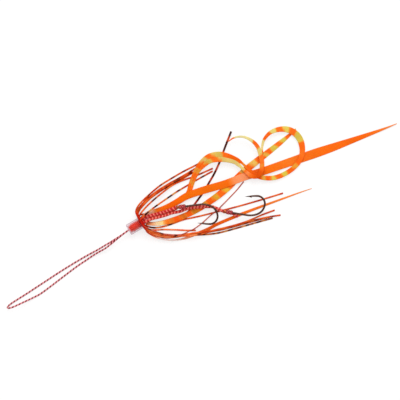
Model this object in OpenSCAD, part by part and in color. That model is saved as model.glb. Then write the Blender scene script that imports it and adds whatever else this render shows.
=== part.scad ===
// Skirt and assist-hook unit for a sliding jig head: a leader loop and two snelled hooks
// meet in one collar, which also holds a silicone skirt and four soft ties.
// Millimetres. X runs back along the collar's axis, Z is up from the surface it lies on,
// and the origin is the centre of the sleeve's front face.

/* [Collar] */
// Length of the clear sleeve
sleeve_len = 5.6; // [5:0.1:7]
// Wall of the clear sleeve
sleeve_wall = 0.58; // [0.5:0.02:0.8]
// Rounding of the sleeve's outer edges
sleeve_round = 0.25; // [0.1:0.05:0.35]
// Depth of the core tube's mouth behind the sleeve's front
core_recess = 0.3; // [0.2:0.1:0.6]
// Length of the core tube behind the skirt's rim
core_tail = 0.9; // [0.8:0.1:1.2]
// Wall of the core tube
core_wall = 0.62; // [0.55:0.01:0.7]
// Wall of the skirt's neck under the sleeve
neck_wall = 0.25; // [0.2:0.01:0.3]
// Diameter of the skirt's flared rim
rim_d = 5.9; // [5.7:0.1:6.3]
// Thickness of the skirt's flared rim
rim_t = 0.6; // [0.5:0.05:0.7]

/* [Cords] */
// Diameter of the braided loop cord
loop_d = 0.7; // [0.6:0.02:0.8]
// Diameter of each doubled hook line
line_d = 1.3; // [1.1:0.05:1.35]
// Length of the stem where the loop's two legs run together
stem_len = 9; // [8:0.5:10]

/* [Skirt and ties] */
// Width of a skirt strand
strand_w = 0.7; // [0.6:0.02:0.72]
// Thickness of a skirt strand
strand_t = 0.54; // [0.46:0.02:0.58]
// Thickness of a soft tie
tie_t = 0.5; // [0.4:0.02:0.56]
// Width of the plain ties, as a share of the drawn width
plain_tie_share = 1; // [0.8:0.05:1]
// Width of the banded ties, as a share of the drawn width
banded_tie_share = 1; // [0.8:0.05:1]

/* [Hooks] */
// Diameter of the hook wire
wire_d = 0.8; // [0.7:0.02:0.9]
// Straight length of the hook's shank, from the spade to the bend
shank_len = 9.6; // [9.3:0.1:9.9]
// Length of the hook's tapered point
point_len = 2.4; // [2:0.1:2.8]
// Length of the thread whipping
whip_len = 3; // [2.6:0.1:3.4]
// Diameter of the thread whipping
whip_d = 2.1; // [2:0.02:2.2]
// Width of the flattened spade end
spade_w = 1.5; // [1.3:0.05:1.6]
// Thickness of the flattened spade end
spade_t = 0.44; // [0.36:0.02:0.5]

/* [Hidden] */

$fn = 48;
fit = 0.04;             // radial gap between pieces that slide on each other
cord_fit = 0.08;        // radial gap round the cords in the core tube
layer_gap = 0.12;       // gap between pieces that lie on each other
seat_gap = 0.1;         // gap between a cord's end and what it meets
core_nose = 1;          // length of the core tube's rounded front
core_round = 0.5;       // how far that front is rounded inwards

// Collar, built outwards from the two loop cords in the core tube
core_bore_d = 2 * loop_d + 2 * cord_fit;
core_d = core_bore_d + 2 * core_wall;
neck_d = core_d + 2 * fit + 2 * neck_wall;
sleeve_bore_d = neck_d + 2 * fit;
sleeve_d = sleeve_bore_d + 2 * sleeve_wall;
rim_x = sleeve_len + fit + rim_t / 2;
core_back = rim_x + core_tail;

// Heights of the layers above the surface that the unit lies on
floor_z = -(rim_d / 2 + layer_gap / 2 + strand_t);
over_strand = strand_t + layer_gap;
over_tie = tie_t + layer_gap;
over_both = over_strand + over_tie;
over_all = over_both + over_tie;

// Hook levels: the long line passes over the banded tie, and the short hook over the line
shank_above_line = 1;
whip_drop = 0.45;       // whipping's axis below the shank's
long_line_z = floor_z + over_both + line_d / 2;
long_shank_z = long_line_z + shank_above_line;
short_shank_z = long_line_z + line_d / 2 + layer_gap + whip_d / 2 + whip_drop;
short_line_z = short_shank_z - shank_above_line;
pivot_in = 0.2;         // from the spade's front to the point where the hook turns
whip_in = pivot_in + line_d / 2 + seat_gap;

// Where each spade's front lies in plan behind the rim, and the way its shank points
short_spade = [15, -2.1];
short_turn = -23.8;
long_spade = [30.3, -13.1];
long_turn = -40;

// The hook after its shank: radius and angle of each bend in turn
hook_bends = [[8, 30], [4.7, 60], [3.1, 98], [25, 6]];
barb_len = 0.9;
barb_out = 0.35;

// ---------- Routes: [x behind the rim, y, clear height beneath] ----------

// The pair of hook lines behind the core tube, and each line's own way from there
pair_route = [[1.1, 0], [3, 0], [5, -0.4], [6.2, -0.8], [8.2, -1.4], [10.2, -1.9],
    [12.2, -2.3]];
long_line_route = [[15.5, -4.2], [17.8, -4.6], [19.8, -5.2], [21.8, -6], [23.8, -7.1],
    [25.8, -8.2], [27.6, -9.4], [29, -11.2]];

// The loop, from the stem's end round the nose and back; x is from the sleeve's front
loop_route = [[-10.6, -0.4, 3.2], [-12.4, -0.4, 2.4], [-14.8, -0.4, 1.4], [-18.5, -0.2, 0.4],
    [-23, -0.1, 0], [-28, -0.1, 0], [-33, -0.2, 0], [-38, -0.4, 0], [-43, -0.6, 0], [-48, -0.8, 0],
    [-52.5, -0.9, 0], [-55.5, -1, 0.05], [-57.1, -1.3, 0.75], [-57.5, -1.7, 1.75],
    [-56.9, -2.2, 2.7], [-55.3, -2.6, 3.1], [-52.8, -2.9, 2.7], [-50, -3.2, 1.6],
    [-47, -3.5, 0.5], [-43.5, -3.7, 0], [-39, -3.3, 0], [-34.5, -2.8, 0], [-30, -2.3, 0],
    [-25, -1.8, 0], [-21, -1.6, 0], [-17.5, -1.4, 0.5], [-14.5, -1.4, 1.4], [-12.4, -1.5, 2.3],
    [-10.8, -1.4, 3]];

// Skirt strands: root angle round the rim from +Y, width as a share, points
strands = [
    // upper side, from the outermost inwards
    [6, 1, [[0.5, 5, 3], [3, 6.6, 2.2], [8.3, 7.9, 1], [14, 8.8, 0.2], [20, 8.9, 0],
        [25, 8.8, 0], [32, 8.3, 0]]],
    [23, 1, [[0.9, 4.7, 3.9], [4, 6.1, 2.9], [8, 7.1, 1.6], [13, 7.6, 0.5], [18, 7.6, 0],
        [23, 7.4, 0], [30.5, 7.4, 0]]],
    [-11, 1, [[0.8, 4.2, 1.9], [4, 5.4, 1.1], [8, 6.4, 0.4], [13, 6.8, 0], [18, 6.8, 0],
        [23, 6.5, 0], [29.5, 6.5, 0]]],
    [40, 1, [[1.2, 4.1, 4.8], [4.2, 5.6, 3.9], [8, 6.5, 2.9], [12.5, 7.1, 1.8], [17.5, 7.3, 1],
        [22, 7, over_strand], [28, 7, over_strand]]],
    [58, 1, [[1.4, 3, 5.5], [4.6, 4.2, 4.3], [8.5, 5.1, 3.1], [12.8, 5.8, 1.9],
        [17.5, 6.3, 0.9], [20.6, 6.2, 0.7], [24.2, 5.6, 0.3], [28, 4.8, 0], [35.6, 3.8, 0]]],
    [77, 1, [[1.2, 1.4, 6], [5.2, 2.2, 4.9], [9, 2.6, 3.6], [13.4, 2.9, 2.1], [18, 3.2, 0.4],
        [22.5, 3.2, 0], [29.5, 3.1, 0], [35, 2.9, 0]]],
    // under the long plain tie and under the hook lines
    [-40, 1, [[1.2, 2.8, 0.5], [3.5, 1.9, 0.05], [7, 0.7, 0], [13.5, 0, 0], [20, -0.4, 0]]],
    [-58, 1, [[1.1, 1.5, 0], [3.2, 0.2, 0], [7.5, -1.2, 0], [11.5, -2.2, 0], [15, -2.7, 0]]],
    // the dark strand that runs on across the skirt
    [-77, 1.2, [[1.1, 0, 0], [3.2, -2.2, 0], [8, -4.9, 0], [13, -6.1, 0], [17, -6.2, 0],
        [20, -5.5, 0], [23.2, -4.2, 0], [27, -2.6, 0], [30.8, -0.6, 0], [35.3, 1.9, 0],
        [39.8, 5, 0], [43.8, 8.3, 0.3], [49.5, 12.7, 1]]],
    // lower side, from the innermost outwards
    [251, 1, [[1.1, -2.6, 0], [3.4, -4.6, 0], [7, -6.1, 0], [11, -7, 0], [15, -7.8, 0],
        [18.3, -8.9, 0], [22.2, -10.2, 0], [29.8, -12.5, 0], [38, -14.9, 0], [46.6, -17.2, 0],
        [54.6, -19.2, 0]]],
    [232, 1, [[0.9, -3.8, 0.4], [3, -5.4, 0], [6, -7, 0], [9.8, -9.4, 0], [14, -12.2, 0],
        [17, -14, 0]]],
    [215, 1, [[0.7, -4.8, 0.8], [3, -7.1, 0.4], [6, -9.3, 0], [9, -11.5, 0], [12.4, -13.3, 0]]],
    [199, 1, [[0.6, -5.2, 1.4], [2.5, -7.9, 1.1], [5.1, -10.3, 0.75], [8.2, -11.9, 0.75],
        [11, -13.1, 1.2], [14, -14.6, 1.5], [17, -16.1, 1.3], [20.9, -18.1, 0.6],
        [25, -19.8, 0], [32, -21.8, 0], [39, -23.7, 0], [45.9, -25.6, 0]]],
    [157, 1, [[1, -5.1, 3.7], [3.2, -7.7, 2.2], [6.2, -10, 1.6], [10, -12.1, 1.9],
        [14, -13.8, 2.2], [17, -15.2, 2], [21, -17, 1.2], [25, -18.7, 0.4], [30, -20.3, 0],
        [35, -21.7, 0], [40, -23.1, 0], [45, -24.6, 0]]],
    [142, 1, [[1, -5, 4.5], [3, -7.9, 3.2], [6.2, -10.5, 2.4], [10, -12.4, 2.7],
        [14, -14.5, 2.8], [17, -15.8, 2.6], [21, -17.2, 1.9], [25, -18.6, 1.1],
        [30, -20.1, 0.75], [35, -21.4, 0.75], [39, -22.5, 0.75], [44, -24.1, 0.75],
        [49.2, -26.2, 0.2]]],
    [127, 1, [[1.1, -4.2, 5.7], [2.6, -6.2, 4.8], [4.7, -8.3, 4.1], [6.6, -9.8, 3.7],
        [10, -11.9, 3.5], [14, -13.7, 3.1], [18, -15.4, 2.9], [21, -16.8, 2.6],
        [25, -18.2, 1.8], [30, -19.8, 1.5], [35, -21.1, 1.4], [39, -21.8, 1.4],
        [43, -22.3, 0.6], [48.2, -23.3, 0]]],
    [110, 0.7, [[1.1, -3.4, 6.6], [2.6, -5.5, 5.9], [4.7, -7.9, 5.1], [6.6, -9.6, 4.7],
        [9.4, -11.7, 4.3], [12.2, -12.6, 4], [14.5, -12.8, 3.4], [16.5, -13.1, 2],
        [20.3, -12.8, 0.5], [25, -11.9, 0.7], [28.5, -11.4, 0.7], [31.5, -10.7, 0.3],
        [34.6, -9.9, 0], [39.3, -8.6, 0], [43.5, -7.1, 0]]]];

// Ties: [x behind the rim, y, clear height beneath, width, roll]
plain_long_route = [[1.1, 1.9, 2.7, 1.3, 90], [4, 1.9, 2.1, 1.5, 25], [7.5, 1, 1.7, 1.7, 0],
    [11.4, 0.1, over_both, 2.1, 0], [16, -0.3, over_both, 2.5, 0], [20.6, -0.3, over_both, 2.8, 0],
    [25.5, -1.2, over_both, 3, 0], [31, -2.6, over_both, 3.1, 0], [36.3, -4, over_both, 3.1, 0],
    [41, -4.9, over_both, 3.1, 0], [45.6, -5.8, over_both, 3.1, 0], [52, -7.5, over_both, 3.2, 0],
    [59, -9, 0.5, 3.3, 0], [66, -10.5, 0, 3.5, 0], [73.6, -12.1, 0, 3.7, 0],
    [80.5, -13.6, 0, 3.3, 0], [88, -15.1, 0, 2.5, 0], [95.2, -16.5, 0.1, 1.7, 0],
    [102.5, -17.9, 0.3, 0.9, 0], [108, -18.8, 0.5, 0.3, 0]];
plain_short_route = [[0, -3.2, 2.9, 1.2, 90], [0.1, -5, 2.3, 1.2, 90], [2.5, -8.9, 1.4, 1.2, 90],
    [6.4, -12.2, 0.6, 1.2, 85], [11.4, -14.4, 0.1, 1.3, 65], [16, -15.2, 0, 1.4, 30],
    [20.8, -16, 0, 1.4, 0], [25, -16.2, 0, 1.3, 0], [29, -16.7, 0, 1.3, 0],
    [33, -17.3, 0, 1.3, 0], [38, -18.1, 0, 1.2, 0], [45, -19.4, 0, 1, 0],
    [52.7, -20.9, 0, 0.8, 0], [60.4, -22.4, 0.1, 0.5, 0], [65.4, -23.5, 0.3, 0.25, 0]];
banded_route = [[1.1, -1.35, 1.5, 1.3, -40], [4.2, -3.2, 0.9, 1.6, -10],
    [7.3, -4.6, over_strand, 2, 0], [11, -5.7, over_strand, 2.3, 0],
    [14.6, -6.4, over_strand, 2.3, 0], [18.2, -6.9, over_strand, 2.3, 0],
    [21.5, -7.1, over_strand, 2.4, 0], [25, -7.1, over_strand, 2.5, 0],
    [28, -6.9, over_strand, 2.6, 0], [31, -6.7, over_strand, 2.7, 0],
    [34, -6.3, over_strand, 2.8, 0], [37, -5.8, over_strand, 2.8, 0],
    [40.2, -5, over_strand, 2.8, 0], [44, -4.1, over_strand, 2.8, 0],
    [48.2, -3.3, over_strand, 2.8, 0], [52, -2.8, 0.5, 2.7, 0], [56, -2.3, 0.1, 2.5, 0],
    [60, -1.8, 0, 2.3, 0], [64.6, -1.2, 0, 1.9, 0], [69, -0.5, 0, 1.2, 0], [72.3, 0.3, 0, 0.4, 0]];
curly_route = [[1.1, 1.2, 1.1, 1.2, 40], [4.2, 0.9, 0.75, 1.4, 0], [8, 0.4, over_strand, 1.7, 0],
    [14, -0.4, over_strand, 1.9, 0], [19, -0.6, over_strand, 2, 0],
    [22.2, 0.4, over_strand, 2.1, 0], [24.7, 2.6, over_strand, 2.2, 0], [27.3, 4.7, 1.4, 2.3, 0],
    [30, 6.4, 2.2, 2.6, 0], [33.2, 7.5, 2.8, 3.4, 0], [36.5, 7.8, 3.4, 3.9, 0],
    [39.8, 6.6, 3.4, 4.2, 0], [42.4, 4.4, 3, 4.3, 0], [44.3, 2, 2.6, 4.2, 0]];
ring_route = [[42.9, 5.1, 2.9, 2.05, 0], [45.1, 2.4, 2.6, 2, 0], [46.6, -1, 2.2, 1.9, 0],
    [47.6, -4.2, 2.1, 1.9, 0], [48.9, -7.4, 2.1, 1.9, 0], [51.3, -10.1, 1.9, 1.9, 0],
    [54.8, -12.1, 1.4, 1.9, 0], [59, -12.9, 0.9, 1.9, 0], [63.2, -12.7, 0.75, 1.9, 0],
    [67, -11.4, 0.85, 2, 0], [69.8, -8.8, 1, 2.2, 0], [71.3, -5.2, 1, 2.5, 0],
    [71.2, -1.7, 1, 2.6, 0], [69.4, 1.5, 1.4, 2.5, 0], [66.3, 3.5, 2.2, 2.1, 0],
    [62.6, 4.2, 2.4, 1.9, 0], [59.2, 3.2, 1.9, 1.6, 0], [57, 1.1, 1.3, 1.2, 0],
    [56.2, -0.5, 0.9, 0.8, 0]];
arc_route = [[41.5, 3.5, 2.9, 2.05, 0], [43.6, 1.3, 2.6, 2, 0], [45.1, -1.8, 2.2, 1.8, 0],
    [46.2, -5, 2.1, 1.8, 0], [47.6, -7.2, 2.9, 1.8, 0], [49.7, -8, 3.1, 1.9, 0],
    [51.8, -6.9, 3.1, 1.9, 0], [53.6, -4.3, 3, 1.9, 0], [54.7, -1.4, 3, 1.8, 0],
    [55.3, 2, 3.5, 1.7, 0], [54.5, 5.4, 4.1, 1.5, 0], [52.3, 8.4, 4.1, 1.2, 0],
    [49.2, 9.9, 3.2, 0.9, 0], [46.4, 9.8, 2.2, 0.4, 0]];

// ---------- Curves and sweeps ----------

// One point of a smooth curve between b and c, with a and d as their neighbours
function blend_point(a, b, c, d, t) =
    0.5 * (2 * b + (c - a) * t + (2 * a - 5 * b + 4 * c - d) * t * t
        + (3 * b - 3 * c + d - a) * t * t * t);

// A smooth curve through points, with n steps from each to the next
function smooth(points, n) =
    let (last = len(points) - 1,
         p = concat([2 * points[0] - points[1]], points, [2 * points[last] - points[last - 1]]))
    concat([for (i = [0:last - 1], j = [0:n - 1])
                blend_point(p[i], p[i + 1], p[i + 2], p[i + 3], j / n)],
           [points[last]]);

function unit(v) = v / norm(v);
function head3(v) = [v[0], v[1], v[2]];
function heading(path, i) =
    unit(head3(path[min(i + 1, len(path) - 1)]) - head3(path[max(i - 1, 0)]));

// The cross-section's point (u across, v up) at point i of a path, rolled by an angle
function section_point(path, i, u, v, roll = 0) =
    let (t = heading(path, i),
         side = unit(cross([0, 0, 1], t)),
         up = cross(t, side))
    head3(path[i]) + side * (u * cos(roll) - v * sin(roll)) + up * (u * sin(roll) + v * cos(roll));

// A closed skin over rings of points, all with as many sides
module skin(rings) {
    sides = len(rings[0]);
    last = len(rings) - 1;
    polyhedron(
        points = [for (ring = rings) each ring],
        faces = concat(
            [[for (k = [0:sides - 1]) k]],
            [for (i = [0:last - 1], k = [0:sides - 1])
                let (a = i * sides + k, b = i * sides + (k + 1) % sides)
                each [[a, a + sides, b + sides], [a, b + sides, b]]],
            [[for (k = [sides - 1:-1:0]) last * sides + k]]));
}

// A round ring square to a path at its point i, moved along the path by a shift
function ring_at(path, i, r, shift = 0, sides = 8) =
    [for (k = [0:sides - 1])
        section_point(path, i, r * cos(k * 360 / sides), r * sin(k * 360 / sides))
            + heading(path, i) * shift];

// A round cord along a path, its last end domed where asked
module cord(path, d, dome_end = false) {
    last = len(path) - 1;
    skin(concat(
        [for (i = [0:last]) ring_at(path, i, d / 2)],
        [for (a = dome_end ? [20, 45, 75] : []) ring_at(path, last, d / 2 * cos(a), d / 2 * sin(a))]));
}

// A six-sided strand, flat above and below
module strand_sweep(path, w, t) {
    outline = [[w / 2, 0], [w / 3, t / 2], [-w / 3, t / 2], [-w / 2, 0], [-w / 3, -t / 2],
        [w / 3, -t / 2]];
    skin([for (i = [0:len(path) - 1]) [for (q = outline) section_point(path, i, q[0], q[1])]]);
}

// A flat tie: rows are [x, y, z, width, roll]
module tie_sweep(path, t) {
    outline = [[0.5, 0.5], [-0.5, 0.5], [-0.5, -0.5], [0.5, -0.5]];
    skin([for (i = [0:len(path) - 1]) [for (q = outline)
        section_point(path, i, q[0] * path[i][3], q[1] * t, path[i][4])]]);
}

// Rows of a tie's route set at their real place and height
function tie_path(route, share, n) = smooth([for (p = route)
    let (w = p[3] * share)
    [rim_x + p[0], p[1], floor_z + p[2] + (tie_t * abs(cos(p[4])) + w * abs(sin(p[4]))) / 2,
        w, p[4]]], n);

// ---------- Collar ----------

module clear_sleeve() color("mistyrose", 0.5)
    rotate([0, 90, 0]) rotate_extrude() polygon([
        [sleeve_bore_d / 2, 0],
        [sleeve_d / 2 - sleeve_round, 0],
        for (a = [-75:15:0]) [sleeve_d / 2 - sleeve_round + sleeve_round * cos(a),
            sleeve_round + sleeve_round * sin(a)],
        for (a = [0:15:75]) [sleeve_d / 2 - sleeve_round + sleeve_round * cos(a),
            sleeve_len - sleeve_round + sleeve_round * sin(a)],
        [sleeve_d / 2 - sleeve_round, sleeve_len],
        [sleeve_bore_d / 2, sleeve_len]]);

module core_tube() color("crimson")
    rotate([0, 90, 0]) rotate_extrude() polygon([
        [core_bore_d / 2, core_recess],
        for (a = [-90:15:0]) [core_d / 2 - core_round + core_round * cos(a),
            core_recess + core_nose + core_nose * sin(a)],
        [core_d / 2, core_back],
        [core_bore_d / 2, core_back]]);

// The skirt's uncut root: a neck held under the sleeve, and the rim that the strands leave
module skirt_collar() color("red")
    rotate([0, 90, 0]) rotate_extrude() {
        inner = core_d / 2 + fit;
        outer = neck_d / 2;
        front = sleeve_len + fit;
        rim_r = rim_d / 2;
        polygon([
            [inner, core_recess + core_nose + 0.2],
            [outer, core_recess + core_nose + 0.2],
            [outer, front],
            [rim_r - rim_t / 2, front],
            for (a = [-60:30:60]) [rim_r - rim_t / 2 + rim_t / 2 * cos(a),
                front + rim_t / 2 + rim_t / 2 * sin(a)],
            [rim_r - rim_t / 2, front + rim_t],
            [outer + rim_t, front + rim_t],
            [outer, front + rim_t + 0.5],
            [inner, front + rim_t + 0.5]]);
    }

// ---------- Cords ----------

module core_cords() color("indianred")
    for (side = [-1, 1]) translate([core_recess, 0, side * (loop_d / 2 + cord_fit / 4)])
        rotate([0, 90, 0]) cylinder(d = loop_d, h = core_back - core_recess);

leg_out = loop_d / 2 + cord_fit / 4;
stem_drift = -0.8;      // how far the stem's end lies to one side

// The stem's legs run one above the other out of the core and turn to lie side by side
module loop_stem() color("palevioletred") {
    front = core_recess - seat_gap / 2;
    for (side = [-1, 1]) cord([for (k = [0:8]) let (t = k / 8, turn = 90 * (1 - t * t * t))
        [front - t * (front + stem_len), stem_drift * t + side * leg_out * cos(turn),
            side * leg_out * sin(turn)]], loop_d, dome_end = true);
}

module loop_cord() color("palevioletred") {
    start = -stem_len - loop_d;
    cord(smooth(concat(
        [[start, stem_drift + leg_out, 0]],
        [for (p = loop_route) [p[0], p[1], floor_z + p[2] + loop_d / 2]],
        [[start, stem_drift - leg_out, 0]]), 3), loop_d);
}

pair_gap = (line_d + layer_gap) / 2;

// A hook's turning point: x, y and the height of the line that ends there
function hook_pivot(spade, turn, z) =
    [rim_x + spade[0] + pivot_in * cos(turn), spade[1] + pivot_in * sin(turn), z];

module short_hook_line() color("firebrick")
    cord(smooth(concat(
        [for (i = [0:len(pair_route) - 2]) let (p = pair_route[i])
            [max(rim_x + p[0], core_back + seat_gap), p[1] + pair_gap, short_line_z * max(i - 1, 0) / 5]],
        [hook_pivot(short_spade, short_turn, short_line_z)]), 4), line_d, dome_end = true);

module long_hook_line() color("firebrick")
    cord(smooth(concat(
        [for (i = [0:len(pair_route) - 1]) let (p = pair_route[i])
            [max(rim_x + p[0], core_back + seat_gap), p[1] - pair_gap, long_line_z * max(i - 1, 0) / 5]],
        [for (p = long_line_route) [rim_x + p[0], p[1], long_line_z]],
        [hook_pivot(long_spade, long_turn, long_line_z)]), 3), line_d, dome_end = true);

// ---------- Hooks ----------

// Points along a wire that bends left through each radius and angle in turn, from a point
// where it points along an angle; the last row is [x, y, z, angle]
function bent_wire(bends, x, y, dir = 0, i = 0) =
    i == len(bends) ? [] :
    let (r = bends[i][0],
         a = bends[i][1],
         steps = ceil(a / 9),
         cx = x - r * sin(dir),
         cy = y + r * cos(dir),
         end = dir + a)
    concat([for (k = [1:steps]) let (t = dir + a * k / steps) [cx + r * sin(t), cy - r * cos(t), 0, t]],
        bent_wire(bends, cx + r * sin(end), cy - r * cos(end), end, i + 1));

// A barbed hook with a spade end, lying flat, its spade's front at the origin
module hook() {
    neck = spade_w * 0.6;
    bend = bent_wire(hook_bends, shank_len, 0);
    leg = bend[len(bend) - 1];
    ahead = [cos(leg[3]), sin(leg[3]), 0];
    path = concat([[spade_w * 0.5, 0, 0], [shank_len, 0, 0]], bend,
        [for (k = [0.5, 1]) head3(leg) + ahead * point_len * k]);
    last = len(path) - 1;
    translate([0, 0, -spade_t / 2]) linear_extrude(spade_t)
        polygon([[0, -spade_w * 0.3], [spade_w * 0.12, -spade_w / 2], [spade_w * 0.35, -spade_w / 2],
            [neck, -wire_d * 0.4], [neck, wire_d * 0.4], [spade_w * 0.35, spade_w / 2],
            [spade_w * 0.12, spade_w / 2], [0, spade_w * 0.3]]);
    skin([for (i = [0:last])
        ring_at(path, i, wire_d / 2 * (i == last ? 0.1 : i == last - 1 ? 0.6 : 1), 0, 10)]);
    translate([leg[0], leg[1], -wire_d / 4]) rotate([0, 0, leg[3]]) linear_extrude(wire_d / 2)
        polygon([[0.4, 0], [-barb_len / 3, wire_d / 2 + barb_out], [-0.5, 0]]);
}

// Thread wound over the shank and the end of the line below it
module whipping() difference() {
    translate([whip_in, 0, -whip_drop]) rotate([0, 90, 0]) rotate_extrude() polygon([
        [0, 0], [whip_d / 2 - 0.2, 0], [whip_d / 2, 0.3], [whip_d / 2, whip_len - 0.5],
        [whip_d / 2 - 0.3, whip_len], [0, whip_len]]);
    translate([whip_in - 1, 0, 0]) rotate([0, 90, 0]) cylinder(d = wire_d + fit, h = whip_len + 2);
}

module place_short() translate([rim_x + short_spade[0], short_spade[1], short_shank_z])
    rotate([0, 0, short_turn]) mirror([0, 1, 0]) children();

module place_long() translate([rim_x + long_spade[0], long_spade[1], long_shank_z])
    rotate([0, 0, long_turn]) children();

module short_hook() color("dimgray") place_short() hook();
module short_hook_whipping() color("red") place_short() whipping();
module long_hook() color("dimgray") place_long() hook();
module long_hook_whipping() color("red") place_long() whipping();

// ---------- Ties and strands ----------

module plain_tie_long() color("darkorange")
    tie_sweep(tie_path(plain_long_route, plain_tie_share, 3), tie_t);

module plain_tie_short() color("darkorange")
    tie_sweep(tie_path(plain_short_route, plain_tie_share, 3), tie_t);

module banded_tie() color("gold")
    tie_sweep(tie_path(banded_route, banded_tie_share, 3), tie_t);

// One wide tie that splits into a ring and an arc
module curly_tie() color("goldenrod") {
    tie_sweep(tie_path(curly_route, banded_tie_share, 3), tie_t);
    tie_sweep(tie_path(ring_route, banded_tie_share, 4), tie_t);
    tie_sweep(tie_path(arc_route, banded_tie_share, 4), tie_t);
}

module skirt_strand(i) color(i == 8 ? "maroon" : "orangered") {
    angle = strands[i][0];
    root_r = rim_d / 2 + layer_gap / 2 + strand_t / 2;
    root = [rim_x, root_r * cos(angle), root_r * sin(angle)];
    strand_sweep(smooth(concat([root],
        [for (p = strands[i][2]) [rim_x + p[0], p[1], floor_z + p[2] + strand_t / 2]]), 3),
        strand_w * strands[i][1], strand_t);
}

clear_sleeve();
core_tube();
skirt_collar();
core_cords();
loop_stem();
loop_cord();
short_hook_line();
long_hook_line();
short_hook();
short_hook_whipping();
long_hook();
long_hook_whipping();
plain_tie_long();
plain_tie_short();
curly_tie();
banded_tie();
for (i = [0:len(strands) - 1])
    skirt_strand(i);
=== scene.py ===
"""Looks for the jig skirt and assist-hook unit: cords, hooks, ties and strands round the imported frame.

Sizes are in millimetres, as in the part's source, and turned to metres as each mesh is made.
X runs back along the collar's axis, Z is up, and the origin is the sleeve's front face."""
import math

import bpy
import numpy as np
from mathutils import Matrix


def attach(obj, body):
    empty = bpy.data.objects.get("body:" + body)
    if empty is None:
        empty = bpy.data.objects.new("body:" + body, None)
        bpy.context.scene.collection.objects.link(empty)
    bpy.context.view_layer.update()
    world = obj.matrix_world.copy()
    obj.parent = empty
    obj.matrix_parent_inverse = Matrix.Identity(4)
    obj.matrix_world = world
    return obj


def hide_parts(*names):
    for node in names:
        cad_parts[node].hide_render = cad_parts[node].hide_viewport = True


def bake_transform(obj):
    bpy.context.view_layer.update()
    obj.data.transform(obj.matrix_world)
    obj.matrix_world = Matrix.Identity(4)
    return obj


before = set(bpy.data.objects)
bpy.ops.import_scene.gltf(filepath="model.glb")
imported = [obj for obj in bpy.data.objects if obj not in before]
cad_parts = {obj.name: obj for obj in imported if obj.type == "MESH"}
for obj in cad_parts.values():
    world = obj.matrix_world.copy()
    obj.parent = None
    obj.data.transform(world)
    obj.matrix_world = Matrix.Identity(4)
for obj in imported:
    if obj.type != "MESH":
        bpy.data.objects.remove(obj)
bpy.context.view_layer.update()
MM = 0.001

# ---------- Sizes, as in the part's source ----------

SLEEVE_LEN, CORE_RECESS, CORE_TAIL = 5.6, 0.3, 0.9
RIM_D, RIM_T = 5.9, 0.6
FIT, CORD_FIT, LAYER_GAP, SEAT_GAP = 0.04, 0.08, 0.12, 0.1
LOOP_D, LINE_D, STEM_LEN, STEM_DRIFT = 0.7, 1.3, 9, -0.8
STRAND_W, STRAND_T, TIE_T = 0.7, 0.54, 0.5
WIRE_D, SHANK_LEN, POINT_LEN = 0.8, 9.6, 2.4
SPADE_W, SPADE_T = 1.5, 0.44
WHIP_LEN, WHIP_D, WHIP_DROP, PIVOT_IN = 3, 2.1, 0.45, 0.2
SHANK_ABOVE_LINE, BARB_OUT = 1, 0.35

RIM_X = SLEEVE_LEN + FIT + RIM_T / 2
CORE_BACK = RIM_X + CORE_TAIL
FLOOR_Z = -(RIM_D / 2 + LAYER_GAP / 2 + STRAND_T)
OVER_STRAND = STRAND_T + LAYER_GAP
OVER_TIE = TIE_T + LAYER_GAP
OVER_BOTH = OVER_STRAND + OVER_TIE
WHIP_IN = PIVOT_IN + LINE_D / 2 + SEAT_GAP
LONG_LINE_Z = FLOOR_Z + OVER_BOTH + LINE_D / 2
LONG_SHANK_Z = LONG_LINE_Z + SHANK_ABOVE_LINE
SHORT_SHANK_Z = LONG_LINE_Z + LINE_D / 2 + LAYER_GAP + WHIP_D / 2 + WHIP_DROP
SHORT_LINE_Z = SHORT_SHANK_Z - SHANK_ABOVE_LINE
SHORT_SPADE, SHORT_TURN = (15, -2.1), -23.8
LONG_SPADE, LONG_TURN = (30.3, -13.1), -40
HOOK_BENDS = [(8, 30), (4.7, 60), (3.1, 98), (25, 6)]  # radius and angle of each bend in turn
LEG_OUT = LOOP_D / 2 + CORD_FIT / 4
PAIR_GAP = (LINE_D + LAYER_GAP) / 2
ROOT_R = RIM_D / 2 + LAYER_GAP / 2 + STRAND_T / 2

# ---------- Sizes that only the looks have ----------

CURVE_STEPS = 8  # points on a curve from each point of its route to the next
LOOP_STEP, LINE_STEP, TIE_STEP, STRAND_STEP = 0.16, 0.13, 0.4, 0.3  # from ring to ring
CORD_PITCH, BRAID_PITCH = 1.45, 1.35  # along a cord, from one dark band to the next
BRAID_SLANT = 0.9  # of a braid's bands towards their crest, in pitches per turn
LOOP_PLIES, LOOP_PLY_DEPTH, BRAID_DEPTH = 4, 0.1, 0.06  # depths are shares of the radius
THREAD_PITCH, THREAD_CROSS, THREAD_RIDGE = 0.38, 1.15, 0.05
SHORT_LINE_CREST, LONG_LINE_CREST = 0.12, 0.38  # share of the way round where bands lead
LINE_IN_CORE, LINE_IN_WHIP = 0.6, 1.1  # how far a line's hidden ends run on
SPADE_LEN, TAPER_LEN = 1.5, 4.6  # where the hook's wire isn't round, and where it thins
HALF_OVERLAP = 0.04  # how far each half of the curly tie reaches past its middle
STRAND_SINK = 0.5  # how much nearer the axis a strand's hidden first point is

# ---------- Routes, as in the part's source: (x behind the rim, y, clear height beneath) ----------

# The two hook lines in plan: side by side at first, then the long one's own way
PAIR_ROUTE = [(1.1, 0), (3, 0), (5, -0.4), (6.2, -0.8), (8.2, -1.4), (10.2, -1.9), (12.2, -2.3)]
LONG_LINE_ROUTE = [(15.5, -4.2), (17.8, -4.6), (19.8, -5.2), (21.8, -6), (23.8, -7.1),
                   (25.8, -8.2), (27.6, -9.4), (29, -11.2)]
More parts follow.
